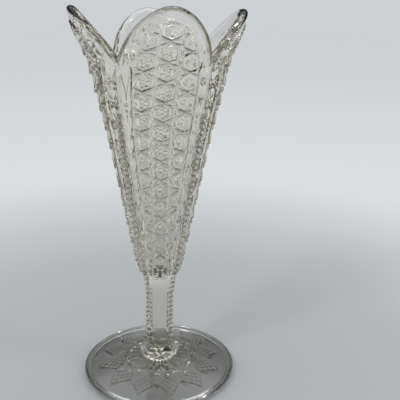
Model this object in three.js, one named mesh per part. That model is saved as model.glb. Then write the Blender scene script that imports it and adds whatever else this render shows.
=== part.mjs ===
// Footed bud vase of clear pressed glass. A round domed foot with a star moulded beneath it carries a
// square stem with beaded corners, and a four-sided bowl that opens into four arched petals. Each side
// of the bowl has a panel of six-sided buttons, and beads run up its four corners.
// Millimetres, +Z up. The origin is the centre of the foot on the table, and the front side faces -Y.
import * as THREE from 'three';
import { mergeVertices } from 'three/addons/utils/BufferGeometryUtils.js';

// Overall sizes
const HEIGHT = 200;
const FOOT_DIAMETER = 86;
const PETAL_REACH = 43.6;
const SEAT_GAP = 0.3;

// Foot
const FOOT_EDGE_HEIGHT = 3.4;
const FOOT_SHOULDER = 9.2;
const REST_RING_WIDTH = 5;
const FOOT_BEVEL = 1.4;
const DOME_RISE = 4.6;
const UNDERCUT = 1.9;
const ROSETTE_RADIUS = 18;
const ROSETTE_RECESS = 1;

// Star beneath the foot
const STAR_POINTS = 12;
const STAR_MARGIN = 1.6;
const STAR_SIDE_SHARE = 0.58;
const STAR_HEART_SHARE = 0.19;
const STAR_PLATE = 0.8;
const HATCH = 4;
const HATCH_RELIEF = 0.45;
const ROSETTE_PLATE = 0.7;
const ROSETTE_RELIEF = 0.7;

// Stem
const STEM_HALF = 6.6;
const STEM_FOOT = 22;
const STEM_CORNER_RATIO = 1.177;

// Beads on the corners
const BEAD_DIAMETER = 3;
const BEAD_PITCH = 3.05;
const BEAD_NECK = 1.7;
const BEADS_BELOW_NOTCH = 23.5;

// Bowl
const BOWL_FOOT = 50;
const HOLLOW_FLOOR = 60;
const NOTCH_DEPTH = 26.5;
const PETAL_DEPTH = 37;
const WALL = 4.7;
const RIM_WALL = 3.2;
const RIM_ROUND = 0.9;

// Button panels
const PANEL_FOOT = 60;
const PANEL_ARCH = 23.5;
const PANEL_MARGIN = 4.5;
const PANEL_SHARE = 0.45;
const PANEL_COLUMNS = 3;
const PANEL_PLATE = 0.6;
const BORDER_WIDTH = 1.2;
const BORDER_HEIGHT = 1.3;
const BUTTON_PITCH = 10.1;
const BUTTON_START = 38;
const BUTTON_WIDTH_TOP = 9.2;
const BUTTON_WIDTH_FOOT = 6.4;
const BUTTON_RELIEF = 1.25;
const BUTTON_FLAT = 0.6;

// How the bowl opens from the stem to the petal tips, and how square it is on the way: the share of its
// height, the share of its flare, and the distance to the corner over the distance to the face.
const BOWL_SHAPE = [
  { rise: 0, flare: 0, corner: STEM_CORNER_RATIO },
  { rise: 0.055, flare: 0.043, corner: 1.12 },
  { rise: 0.107, flare: 0.104, corner: 1.09 },
  { rise: 0.187, flare: 0.166, corner: 1.09 },
  { rise: 0.387, flare: 0.313, corner: 1.085 },
  { rise: 0.593, flare: 0.473, corner: 1.065 },
  { rise: 0.733, flare: 0.607, corner: 1.01 },
  { rise: 0.827, flare: 0.711, corner: 0.946 },
  { rise: 0.92, flare: 0.882, corner: 0.93 },
  { rise: 1, flare: 1, corner: 0.92 },
];

const mix = THREE.MathUtils.lerp;

// Heights that follow from the sizes above, and the inner edge of the ring that the foot rests on
const NOTCH_HEIGHT = HEIGHT - NOTCH_DEPTH;
const PETAL_FOOT = HEIGHT - PETAL_DEPTH;
const PANEL_TOP = HEIGHT - PANEL_MARGIN;
const PANEL_SHOULDER = PANEL_TOP - PANEL_ARCH;
const REST_INNER_RADIUS = FOOT_DIAMETER / 2 - FOOT_BEVEL - REST_RING_WIDTH;

const FACES = ['front', 'right', 'back', 'left'];
const CORNERS = ['front_right', 'back_right', 'back_left', 'front_left'];
const QUARTER = Math.PI / 2;
const EIGHTH = Math.PI / 4;

// Angles round the vase, closer together towards the corners, where the outline turns fastest
function cornerAngles(stepsPerHalfFace) {
  const angles = [];
  for (let face = 0; face < 4; face += 1) {
    for (let step = -stepsPerHalfFace; step < stepsPerHalfFace; step += 1) {
      const share = step / stepsPerHalfFace;
      angles.push((face - 1) * QUARTER + EIGHTH * mix(share, Math.sin(QUARTER * share), 0.6));
    }
  }
  return angles;
}

// Distance from the axis to a four-sided section. Past the circle the section is a rounded square, and
// short of it the four faces bulge into lobes.
function sectionRadius(angle, face, corner) {
  if (corner < face) {
    return (face + corner) / 2 + (face - corner) / 2 * Math.cos(4 * angle);
  }
  const power = 1 / (0.5 - Math.log2(corner / face));
  const sum = Math.abs(Math.cos(angle)) ** power + Math.abs(Math.sin(angle)) ** power;
  return face / sum ** (1 / power);
}

function shapeCurve(key) {
  const rises = BOWL_SHAPE.map((row) => row.rise);
  const values = BOWL_SHAPE.map((row) => row[key]);
  const curve = new THREE.CubicInterpolant(rises, values, 1);
  return (height) => {
    const rise = (height - BOWL_FOOT) / (HEIGHT - BOWL_FOOT);
    return curve.evaluate(THREE.MathUtils.clamp(rise, 0, 1))[0];
  };
}

const bowlFlare = shapeCurve('flare');
const bowlCorner = shapeCurve('corner');

function bowlFace(height) {
  return mix(STEM_HALF, PETAL_REACH, bowlFlare(height));
}

function bowlRadius(angle, height) {
  const face = bowlFace(height);
  return sectionRadius(angle, face, face * bowlCorner(height));
}

function wallAt(height) {
  const rise = (height - HOLLOW_FLOOR) / (HEIGHT - HOLLOW_FLOOR);
  return mix(WALL, RIM_WALL, THREE.MathUtils.clamp(rise, 0, 1) ** 2);
}

// Height of the rim at an angle: an arch over each face that drops to a notch at each corner.
function rimHeight(angle) {
  const turn = angle / QUARTER;
  const fromFace = 2 * Math.abs(turn - Math.round(turn));
  return HEIGHT - NOTCH_DEPTH * fromFace ** 2 * (1.75 - 0.75 * fromFace);
}

function ringAt(angles, pointAt) {
  return angles.map((angle) => {
    const { radius, height } = pointAt(angle);
    return new THREE.Vector3(radius * Math.cos(angle), radius * Math.sin(angle), height);
  });
}

function ringCentre(ring) {
  const sum = ring.reduce((total, point) => total.add(point), new THREE.Vector3());
  return sum.divideScalar(ring.length);
}

function closedBody(triangles) {
  const positions = [];
  for (const triangle of triangles) {
    for (const point of triangle) {
      positions.push(point.x, point.y, point.z);
    }
  }
  const geometry = new THREE.BufferGeometry();
  geometry.setAttribute('position', new THREE.Float32BufferAttribute(positions, 3));
  const merged = mergeVertices(geometry, 1e-5);
  merged.computeVertexNormals();
  return merged;
}

// Skin over rings that follow each other along a body, closed at both ends.
function loft(rings) {
  const triangles = [];
  const count = rings[0].length;
  const first = rings[0];
  const last = rings[rings.length - 1];
  const start = ringCentre(first);
  const end = ringCentre(last);
  for (let side = 0; side < count; side += 1) {
    const next = (side + 1) % count;
    triangles.push([start, first[next], first[side]]);
    triangles.push([end, last[side], last[next]]);
    for (let row = 0; row + 1 < rings.length; row += 1) {
      const below = rings[row];
      const above = rings[row + 1];
      triangles.push([below[side], below[next], above[next]]);
      triangles.push([below[side], above[next], above[side]]);
    }
  }
  return closedBody(triangles);
}

// Underside of the foot between the rosette and the resting ring
function undersideHeight(radius) {
  const share = (radius - ROSETTE_RADIUS) / (REST_INNER_RADIUS - ROSETTE_RADIUS);
  return mix(UNDERCUT + DOME_RISE, UNDERCUT, share);
}

function footGeometry() {
  const outer = FOOT_DIAMETER / 2;
  const crown = undersideHeight(ROSETTE_RADIUS);
  const profile = [
    { face: ROSETTE_RADIUS, height: crown + ROSETTE_RECESS },
    { face: ROSETTE_RADIUS, height: crown },
    { face: REST_INNER_RADIUS, height: UNDERCUT },
    { face: REST_INNER_RADIUS, height: 0 },
    { face: outer - FOOT_BEVEL, height: 0 },
    { face: outer, height: 0.4 * FOOT_EDGE_HEIGHT },
    { face: outer - 0.25 * FOOT_BEVEL, height: 0.85 * FOOT_EDGE_HEIGHT },
    { face: outer - FOOT_BEVEL, height: 1.05 * FOOT_EDGE_HEIGHT },
    { face: mix(STEM_HALF, outer, 0.82), height: mix(FOOT_EDGE_HEIGHT, FOOT_SHOULDER, 0.22) },
    { face: mix(STEM_HALF, outer, 0.6), height: mix(FOOT_EDGE_HEIGHT, FOOT_SHOULDER, 0.56) },
    { face: mix(STEM_HALF, outer, 0.4), height: mix(FOOT_EDGE_HEIGHT, FOOT_SHOULDER, 0.83) },
    { face: mix(STEM_HALF, outer, 0.22), height: FOOT_SHOULDER, corner: 1.02 },
    { face: mix(STEM_HALF, outer, 0.1), height: mix(FOOT_SHOULDER, STEM_FOOT, 0.14), corner: 1.14 },
    { face: mix(STEM_HALF, outer, 0.035), height: mix(FOOT_SHOULDER, STEM_FOOT, 0.36), corner: 1.24 },
    { face: mix(STEM_HALF, outer, 0.01), height: mix(FOOT_SHOULDER, STEM_FOOT, 0.62), corner: 1.24 },
    { face: STEM_HALF, height: STEM_FOOT, corner: STEM_CORNER_RATIO },
  ];
  const angles = cornerAngles(5);
  return loft(profile.map(({ face, height, corner = 1 }) => ringAt(angles, (angle) => ({
    radius: sectionRadius(angle, face, face * corner),
    height,
  }))));
}

function stemGeometry() {
  const angles = cornerAngles(4);
  const section = (height) => ringAt(angles, (angle) => ({
    radius: sectionRadius(angle, STEM_HALF, STEM_HALF * STEM_CORNER_RATIO),
    height,
  }));
  return loft([section(STEM_FOOT), section(BOWL_FOOT)]);
}

function bowlGeometry() {
  const angles = cornerAngles(5);
  const level = (height, inset = 0) => ringAt(angles, (angle) => ({
    radius: bowlRadius(angle, height) - inset,
    height,
  }));
  const petal = (share, drop, inset) => ringAt(angles, (angle) => {
    const height = mix(PETAL_FOOT, rimHeight(angle), share) - drop;
    return { radius: bowlRadius(angle, height) - inset(height), height };
  });
  const outside = () => 0;
  const rings = [];
  for (const rise of [0, 0.035, 0.07, 0.12, 0.3, 0.46, 0.6]) {
    rings.push(level(mix(BOWL_FOOT, HEIGHT, rise)));
  }
  rings.push(level(PETAL_FOOT));
  for (const share of [0.25, 0.5, 0.75]) {
    rings.push(petal(share, 0, outside));
  }
  rings.push(petal(1, RIM_ROUND, outside));
  rings.push(petal(1, 0, (height) => 0.3 * wallAt(height)));
  rings.push(petal(1, 0, (height) => 0.7 * wallAt(height)));
  rings.push(petal(1, RIM_ROUND, wallAt));
  for (const share of [0.7, 0.35]) {
    rings.push(petal(share, 0, wallAt));
  }
  for (const share of [1, 0.75, 0.45, 0.15]) {
    const height = mix(HOLLOW_FLOOR, PETAL_FOOT, share);
    rings.push(level(height, wallAt(height)));
  }
  rings.push(hollowRing(angles, 0.9, 3.5));
  rings.push(hollowRing(angles, 0.55, 0.8));
  return loft(rings);
}

// Ring near the rounded floor of the hollow, at a share of the hollow's width just above it
function hollowRing(angles, share, aboveFloor) {
  const height = HOLLOW_FLOOR + aboveFloor;
  const widest = bowlFace(height) - wallAt(height);
  return ringAt(angles, () => ({ radius: share * widest, height }));
}

// Point on the front face of the bowl, at a distance across from its middle, at a height, lifted
// square to the surface.
function facePoint(across, height) {
  let angle = 0;
  for (let pass = 0; pass < 8; pass += 1) {
    angle = Math.asin(across / bowlRadius(angle, height));
  }
  return new THREE.Vector3(across, -bowlRadius(angle, height) * Math.cos(angle), height);
}

function liftedPoint(across, height, lift) {
  const step = 0.05;
  const sideways = facePoint(across + step, height).sub(facePoint(across - step, height));
  const upwards = facePoint(across, height + step).sub(facePoint(across, height - step));
  return facePoint(across, height).addScaledVector(sideways.cross(upwards).normalize(), lift);
}

function buttonWidth(height) {
  const share = (height - PANEL_FOOT) / (PANEL_SHOULDER - PANEL_FOOT);
  return mix(BUTTON_WIDTH_FOOT, BUTTON_WIDTH_TOP, Math.min(share, 1));
}

// The panel takes its share of the face until its columns of buttons are whole.
function panelHalfWidth(height) {
  const share = PANEL_SHARE * (bowlFace(height) + PANEL_PLATE + BUTTON_RELIEF);
  const whole = 0.497 * PANEL_COLUMNS * buttonWidth(height);
  return (share ** -16 + whole ** -16) ** (-1 / 16);
}

// Outline of a panel on the unrolled face: two long sides, a rounded arch above and a short rounded foot
function panelOutline() {
  const half = [];
  const archSteps = 6;
  const sideSteps = 7;
  for (let step = 0; step < archSteps; step += 1) {
    const turn = QUARTER * step / archSteps;
    const height = mix(PANEL_SHOULDER, PANEL_TOP, Math.cos(turn));
    half.push(new THREE.Vector2(panelHalfWidth(PANEL_SHOULDER) * Math.sin(turn), height));
  }
  const footRound = 2;
  for (let step = 0; step <= sideSteps; step += 1) {
    const height = mix(PANEL_SHOULDER, PANEL_FOOT + footRound, step / sideSteps);
    half.push(new THREE.Vector2(panelHalfWidth(height), height));
  }
  half.push(new THREE.Vector2(panelHalfWidth(PANEL_FOOT) - footRound, PANEL_FOOT));
  const mirrored = half.slice(1).reverse().map((point) => new THREE.Vector2(-point.x, point.y));
  return [...half, ...mirrored].reverse();
}

// What is left of a polygon inside a convex cell, both given anticlockwise
function clipToCell(polygon, cell) {
  let kept = polygon;
  for (let side = 0; side < cell.length; side += 1) {
    const from = cell[side];
    const edge = cell[(side + 1) % cell.length].clone().sub(from);
    const inside = kept.map((point) => edge.cross(point.clone().sub(from)));
    const next = [];
    for (let corner = 0; corner < kept.length; corner += 1) {
      const follower = (corner + 1) % kept.length;
      if (inside[corner] >= 0) {
        next.push(kept[corner]);
      }
      if (inside[corner] * inside[follower] < 0) {
        const share = inside[corner] / (inside[corner] - inside[follower]);
        next.push(kept[corner].clone().lerp(kept[follower], share));
      }
    }
    kept = next;
  }
  return kept;
}

// Cells of the button pattern: six-sided buttons stacked point to point in columns, each column half a
// pitch off the next, with a small triangle in every gap between them.
function buttonCells() {
  const cell = (corners) => corners.map(([column, height]) => {
    return new THREE.Vector2(column * buttonWidth(height), height);
  });
  const quarter = BUTTON_PITCH / 4;
  const start = PANEL_FOOT + BUTTON_START;
  const rowsBelow = Math.ceil(BUTTON_START / BUTTON_PITCH);
  const rowsAbove = Math.ceil((PANEL_TOP - start) / BUTTON_PITCH);
  const cells = [];
  const lastColumn = (PANEL_COLUMNS - 1) / 2;
  for (let column = -lastColumn; column <= lastColumn; column += 1) {
    for (let row = -rowsBelow - 1; row <= rowsAbove; row += 1) {
      const tip = start + (row + Math.abs(column % 2) / 2) * BUTTON_PITCH;
      const left = column - 0.5;
      const right = column + 0.5;
      cells.push(cell([
        [column, tip], [right, tip + quarter], [right, tip + 3 * quarter],
        [column, tip + 4 * quarter], [left, tip + 3 * quarter], [left, tip + quarter],
      ]));
      cells.push(cell([[column, tip], [right, tip - quarter], [right, tip + quarter]]));
      cells.push(cell([[column, tip], [left, tip + quarter], [left, tip - quarter]]));
    }
  }
  return cells;
}

function areaOf(polygon) {
  return THREE.ShapeUtils.area(polygon);
}

function middleOf(polygon) {
  const sum = polygon.reduce((total, point) => total.add(point), new THREE.Vector2());
  return sum.divideScalar(polygon.length);
}

// The point already kept at this place, or else the new one
function weld(kept, point) {
  const near = 1e-4;
  const same = kept.find((other) => other.distanceTo(point) < near);
  if (!same) {
    kept.push(point);
  }
  return same ?? point;
}

// Thin plate made of cells that share their edges. Its back is smooth, and each cell's face is raised by
// its own relief. place(point, depth) puts a flat point at a depth above the seat.
function plate(cells, thickness, relief, place) {
  const triangles = [];
  const corners = [];
  const edges = new Map();
  for (const loose of cells) {
    const cell = loose.map((point) => weld(corners, point));
    const middle = middleOf(cell);
    const hub = cell.length > 4 ? middle : cell[0];
    cell.forEach((corner, side) => {
      const next = cell[(side + 1) % cell.length];
      if (hub !== corner && hub !== next) {
        triangles.push([place(hub, 0), place(next, 0), place(corner, 0)]);
      }
      edges.set(`${corners.indexOf(corner)} ${corners.indexOf(next)}`, [corner, next]);
    });
    triangles.push(...relief(cell, middle, (point, lift) => place(point, thickness + lift)));
  }
  for (const [corner, next] of edges.values()) {
    if (!edges.has(`${corners.indexOf(next)} ${corners.indexOf(corner)}`)) {
      triangles.push([place(corner, 0), place(next, 0), place(next, thickness)]);
      triangles.push([place(corner, 0), place(next, thickness), place(corner, thickness)]);
    }
  }
  return closedBody(triangles);
}

// One low pyramid over the cell
function pyramid(cell, middle, lifted, rise) {
  const peak = lifted(middle, rise);
  return cell.map((corner, side) => [lifted(corner, 0), lifted(cell[(side + 1) % cell.length], 0), peak]);
}

// Rounded button: a bevel round a slightly crowned top. The small cells between buttons are pyramids.
function buttonRelief(cell, middle, lifted) {
  const wholeButton = 0.75 * BUTTON_PITCH * buttonWidth(middle.y);
  const rise = BUTTON_RELIEF * Math.sqrt(areaOf(cell) / wholeButton);
  if (areaOf(cell) < wholeButton / 4) {
    return pyramid(cell, middle, lifted, rise);
  }
  const shoulder = cell.map((corner) => middle.clone().lerp(corner, BUTTON_FLAT));
  const low = cell.map((corner) => lifted(corner, 0));
  const high = shoulder.map((corner) => lifted(corner, 0.8 * rise));
  const triangles = [];
  cell.forEach((corner, side) => {
    const next = (side + 1) % cell.length;
    triangles.push([low[side], low[next], high[next]]);
    triangles.push([low[side], high[next], high[side]]);
    triangles.push([high[side], high[next], lifted(middle, rise)]);
  });
  return triangles;
}

function panelGeometry() {
  const outline = panelOutline();
  const smallest = 1;
  const cells = buttonCells().map((cell) => clipToCell(outline, cell)).filter((cell) => {
    return cell.length > 2 && areaOf(cell) > smallest;
  });
  return plate(cells, PANEL_PLATE, buttonRelief, (point, depth) => {
    return liftedPoint(point.x, point.y, SEAT_GAP + depth);
  });
}

// Raised line that frames a panel, with a narrow groove between them
function borderGeometry() {
  const outline = panelOutline();
  const ring = outline.map((point, index) => {
    const before = outline[(index + outline.length - 1) % outline.length];
    const after = outline[(index + 1) % outline.length];
    const along = after.clone().sub(before).normalize();
    const outward = new THREE.Vector2(along.y, -along.x);
    const at = (distance, lift) => {
      const place = point.clone().addScaledVector(outward, distance);
      return liftedPoint(place.x, place.y, SEAT_GAP + lift);
    };
    return [
      at(SEAT_GAP, 0),
      at(SEAT_GAP + BORDER_WIDTH / 2, BORDER_HEIGHT),
      at(SEAT_GAP + BORDER_WIDTH, 0),
    ];
  });
  return hoop(ring);
}

// Skin over sections that follow each other round a closed loop
function hoop(sections) {
  const triangles = [];
  sections.forEach((section, index) => {
    const next = sections[(index + 1) % sections.length];
    section.forEach((corner, side) => {
      const follower = (side + 1) % section.length;
      triangles.push([corner, section[follower], next[follower]]);
      triangles.push([corner, next[follower], next[side]]);
    });
  });
  return closedBody(triangles);
}

// Row of beads strung along a path. path(share) gives a point, from the start of the row to its end.
function beadRowGeometry(path, count) {
  const sides = 5;
  const profile = [[0, BEAD_NECK], [0.5, BEAD_DIAMETER]];
  const steps = [];
  for (let bead = 0; bead < count; bead += 1) {
    for (const [share, width] of profile) {
      steps.push([(bead + share) / count, width / 2]);
    }
  }
  steps.push([1, BEAD_NECK / 2]);
  const probe = 1e-3;
  return loft(steps.map(([share, radius]) => {
    const centre = path(share);
    const along = path(share + probe).sub(path(share - probe)).normalize();
    const across = new THREE.Vector3(-1, 1, 0).normalize();
    const outward = across.clone().cross(along);
    return Array.from({ length: sides }, (_, side) => {
      const turn = 2 * Math.PI * (side + 0.5) / sides;
      return centre.clone()
        .addScaledVector(outward, radius * Math.cos(turn))
        .addScaledVector(across, radius * Math.sin(turn));
    });
  }));
}

// Beads stand off the corner between the right and the back face by their own radius and the gap.
function beadCentre(cornerDistance, height) {
  const reach = (cornerDistance + SEAT_GAP + BEAD_DIAMETER / 2) / Math.SQRT2;
  return new THREE.Vector3(reach, reach, height);
}

function stemBeadsGeometry() {
  const start = STEM_FOOT + SEAT_GAP;
  const end = BOWL_FOOT - SEAT_GAP / 2;
  const count = Math.round((end - start) / BEAD_PITCH);
  const corner = STEM_HALF * STEM_CORNER_RATIO;
  return beadRowGeometry((share) => beadCentre(corner, mix(start, end, share)), count);
}

function bowlBeadsGeometry() {
  const start = BOWL_FOOT + SEAT_GAP / 2;
  const end = NOTCH_HEIGHT - BEADS_BELOW_NOTCH;
  const path = (share) => {
    const height = mix(start, end, share);
    return beadCentre(bowlRadius(EIGHTH, height), height);
  };
  const length = path(0).distanceTo(path(1));
  return beadRowGeometry(path, Math.round(length / BEAD_PITCH));
}

function polar(radius, turn) {
  return new THREE.Vector2(radius * Math.cos(turn), radius * Math.sin(turn));
}

// Kites of the star, with the hatched kites' edges cut where their rows of points begin. The star spans
// the underside from the rosette to its margin inside the resting ring.
function starCells() {
  const step = 2 * Math.PI / STAR_POINTS;
  const inner = ROSETTE_RADIUS + 2 * SEAT_GAP;
  const outer = REST_INNER_RADIUS - STAR_MARGIN;
  const heartRadius = mix(ROSETTE_RADIUS, outer, STAR_HEART_SHARE);
  const sideRadius = mix(ROSETTE_RADIUS, outer, STAR_SIDE_SHARE);
  const cells = [];
  for (let point = 0; point < STAR_POINTS; point += 1) {
    const turn = point * step;
    const heart = polar(heartRadius, turn);
    const after = polar(sideRadius, turn + step / 2);
    const before = polar(sideRadius, turn - step / 2);
    const tip = polar(outer, turn);
    const nextHeart = polar(heartRadius, turn + step);
    cells.push([...divided(heart, before), ...divided(before, tip), ...divided(tip, after), ...divided(after, heart)]);
    cells.push([polar(inner, turn + step / 2), ...divided(heart, after), ...divided(after, nextHeart), nextHeart]);
  }
  return cells;
}

function divided(from, to) {
  return Array.from({ length: HATCH }, (_, part) => from.clone().lerp(to, part / HATCH));
}

// Hatched kites carry rows of small pyramids, and the plain kites between them one low pyramid each.
function starRelief(cell, middle, lifted) {
  const hatched = cell.length === 4 * HATCH;
  if (!hatched) {
    return pyramid(cell, middle, lifted, HATCH_RELIEF);
  }
  const node = (row, column) => {
    const low = cell[0].clone().lerp(cell[HATCH], row / HATCH);
    const high = cell[3 * HATCH].clone().lerp(cell[2 * HATCH], row / HATCH);
    return low.lerp(high, column / HATCH);
  };
  const triangles = [];
  for (let row = 0; row < HATCH; row += 1) {
    for (let column = 0; column < HATCH; column += 1) {
      const square = [node(row, column), node(row + 1, column), node(row + 1, column + 1), node(row, column + 1)];
      triangles.push(...pyramid(square, middleOf(square), lifted, HATCH_RELIEF));
    }
  }
  return triangles;
}

// The star faces down, so its flat drawing is turned over.
function starGeometry() {
  return plate(starCells(), STAR_PLATE, starRelief, (point, depth) => {
    const height = undersideHeight(point.length()) - SEAT_GAP - depth;
    return new THREE.Vector3(point.x, -point.y, height);
  });
}

// Round rosette in the middle of the star: ridges run out from a raised heart and fan towards the edge
function rosetteGeometry() {
  const rays = 2 * STAR_POINTS;
  const radius = ROSETTE_RADIUS - SEAT_GAP;
  const seat = undersideHeight(ROSETTE_RADIUS) + ROSETTE_RECESS - SEAT_GAP;
  const angles = Array.from({ length: rays }, (_, ray) => 2 * Math.PI * ray / rays);
  const ring = (share, depthAt) => ringAt(angles, (angle) => ({
    radius: share * radius,
    height: seat - depthAt(Math.round(angle * rays / (2 * Math.PI)) % 2),
  }));
  return loft([
    ring(0.12, () => ROSETTE_PLATE + ROSETTE_RELIEF),
    ring(0.4, (odd) => ROSETTE_PLATE + (odd ? 0 : 0.8) * ROSETTE_RELIEF),
    ring(0.72, (odd) => ROSETTE_PLATE + (odd ? 0.9 : 0) * ROSETTE_RELIEF),
    ring(0.95, (odd) => ROSETTE_PLATE + (odd ? 0 : 0.6) * ROSETTE_RELIEF),
    ring(1, () => ROSETTE_PLATE),
    ring(1, () => 0),
  ]);
}

function glass() {
  return new THREE.MeshStandardMaterial({ color: 0xdfe4e2, roughness: 0.05, metalness: 0 });
}

function part(name, geometry, turn = 0) {
  const mesh = new THREE.Mesh(geometry, glass());
  mesh.name = name;
  mesh.rotation.z = turn;
  return mesh;
}

function buildVase() {
  const vase = new THREE.Group();
  vase.add(part('foot', footGeometry()));
  vase.add(part('foot_star', starGeometry()));
  vase.add(part('foot_rosette', rosetteGeometry()));
  vase.add(part('stem', stemGeometry()));
  vase.add(part('bowl', bowlGeometry()));
  FACES.forEach((face, index) => {
    vase.add(part(`button_panel_${face}`, panelGeometry(), index * QUARTER));
    vase.add(part(`panel_border_${face}`, borderGeometry(), index * QUARTER));
  });
  CORNERS.forEach((corner, index) => {
    vase.add(part(`stem_beads_${corner}`, stemBeadsGeometry(), (index - 1) * QUARTER));
    vase.add(part(`bowl_beads_${corner}`, bowlBeadsGeometry(), (index - 1) * QUARTER));
  });
  return vase;
}

export default buildVase();
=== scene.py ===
"""Bud vase of clear pressed glass: one continuous glass body with all its moulded relief, in a plain studio.

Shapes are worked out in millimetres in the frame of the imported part, with +Z up and the front petal towards
-Y, and become metres when they enter Blender. One quarter of the bowl and stem is worked out and turned four
times. Angles about the axis are in radians and start at the middle of a face.
"""

import logging
import math
from collections.abc import Mapping, Sequence
from dataclasses import dataclass
from enum import Enum

import bmesh
import bpy
import numpy as np
from mathutils import Matrix, Vector


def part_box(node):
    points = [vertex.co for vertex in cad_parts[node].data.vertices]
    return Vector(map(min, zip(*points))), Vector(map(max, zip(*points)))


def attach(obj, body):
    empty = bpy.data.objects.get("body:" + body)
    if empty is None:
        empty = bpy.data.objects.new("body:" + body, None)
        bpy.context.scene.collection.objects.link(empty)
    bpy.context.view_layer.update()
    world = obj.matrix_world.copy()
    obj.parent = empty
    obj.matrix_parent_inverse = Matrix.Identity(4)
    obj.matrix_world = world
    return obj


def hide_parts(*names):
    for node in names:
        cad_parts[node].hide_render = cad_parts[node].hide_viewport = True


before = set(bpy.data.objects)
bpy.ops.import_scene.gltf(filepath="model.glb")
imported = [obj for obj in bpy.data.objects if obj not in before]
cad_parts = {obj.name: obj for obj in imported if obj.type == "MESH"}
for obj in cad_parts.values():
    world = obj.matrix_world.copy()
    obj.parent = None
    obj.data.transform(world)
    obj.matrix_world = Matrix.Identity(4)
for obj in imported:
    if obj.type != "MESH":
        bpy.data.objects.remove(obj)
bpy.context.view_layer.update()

LOG = logging.getLogger("bud_vase")
MM = 0.001
TINY = 1e-6
EIGHTH = math.pi / 4
QUARTER = math.pi / 2

Array = np.ndarray
Number = Array | float
Values = tuple[float, ...]
Triple = tuple[float, float, float]
Inputs = Mapping[str | int, object]


class Side(Enum):
    """The four alike sides of the vase, each with its turn about the axis."""

    FRONT = 0.0
    RIGHT = QUARTER
    BACK = 2 * QUARTER
    LEFT = 3 * QUARTER


def reach_of(node: str, axis: int) -> float:
    """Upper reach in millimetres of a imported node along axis 0, 1 or 2."""
    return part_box(node)[1][axis] / MM


def mix(low: Number, high: Number, share: Number) -> Number:
    """Straight blend: low where share is 0, high where it is 1."""
    return low + (high - low) * share


def smooth_step(low: float, high: float, value: Array) -> Array:
    """Rises from 0 to 1 between low and high with level ends: three squares less two cubes of the share."""
    share = np.clip((value - low) / (high - low), 0.0, 1.0)
    return share * share * (3.0 - 2.0 * share)


def past_nearest(value: Array, period: float) -> Array:
    """How far a value lies past the nearest multiple of the period, negative where it falls short."""
    return (value + period / 2) % period - period / 2


def smooth_curve(knots: Sequence[float], values: Sequence[float], position: Array) -> Array:
    """Cubic curve through points. Its slope at a point is the mean of the slopes of the two chords there.

    Args:
        knots: Rising positions of the points.
        values: Value at each point.
        position: Where to read the curve. Beyond its ends it keeps their values.

    Returns:
        The curve's value at each position.
    """
    spots, heights = np.array(knots), np.array(values)
    chords = np.diff(heights) / np.diff(spots)
    slopes = np.concatenate([chords[:1], (chords[1:] + chords[:-1]) / 2, chords[-1:]])
    place = np.clip(position, spots[0], spots[-1])
    left = np.clip(np.searchsorted(spots, place, side="right") - 1, 0, len(spots) - 2)
    span = spots[left + 1] - spots[left]
    share = (place - spots[left]) / span
    rise = mix(heights[left], heights[left + 1], 3 * share**2 - 2 * share**3)
    start = share * (1 - share) ** 2 * span * slopes[left]
    end = -(share**2) * (1 - share) * span * slopes[left + 1]
    return rise + start + end


def section_radius(angle: Array, face: Array, corner: Array) -> Array:
    """Distance from the axis to a four-sided section.

    Past the circle it is a superellipse through the face's and the corner's distances. Short of it the faces
    bulge into lobes that follow the cosine of four times the angle.

    Args:
        angle: Angle from the middle of a face.
        face: Distance to the middle of the faces.
        corner: Distance to the corners.

    Returns:
        The distance at each angle.
    """
    ratio = np.maximum(corner / face, 1.0)
    power = 1.0 / (0.5 - np.log2(ratio))
    rounded = face / (np.abs(np.cos(angle)) ** power + np.abs(np.sin(angle)) ** power) ** (1.0 / power)
    lobed = (face + corner) / 2 + (face - corner) / 2 * np.cos(4 * angle)
    return np.where(corner < face, lobed, rounded)


def around(radius: Number, angle: Array, height: Number) -> Array:
    """Points at distances from the axis, angles from the front and heights, with X, Y, Z in the last axis."""
    return np.stack(np.broadcast_arrays(radius * np.sin(angle), -radius * np.cos(angle), height), -1)


def turned(points: Array, angle: float) -> Array:
    """Points turned about the vase's axis."""
    cos, sin = math.cos(angle), math.sin(angle)
    return points @ np.array([[cos, sin, 0.0], [-sin, cos, 0.0], [0.0, 0.0, 1.0]])


def with_mirror_half(half: Array) -> Array:
    """Grid from one corner to the next: the half from the middle of the face, after its mirror image."""
    mirrored = half[:, :0:-1] * np.array([-1.0, 1.0, 1.0])
    return np.concatenate([mirrored, half], axis=1)


def placed(name: str, data: bpy.types.ID) -> bpy.types.Object:
    """New object in the scene, at the origin.

    Args:
        name: Name of the object.
        data: Its mesh, light or camera.

    Returns:
        The object.
    """
    made = bpy.data.objects.new(name, data)
    bpy.context.collection.objects.link(made)
    return made


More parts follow.
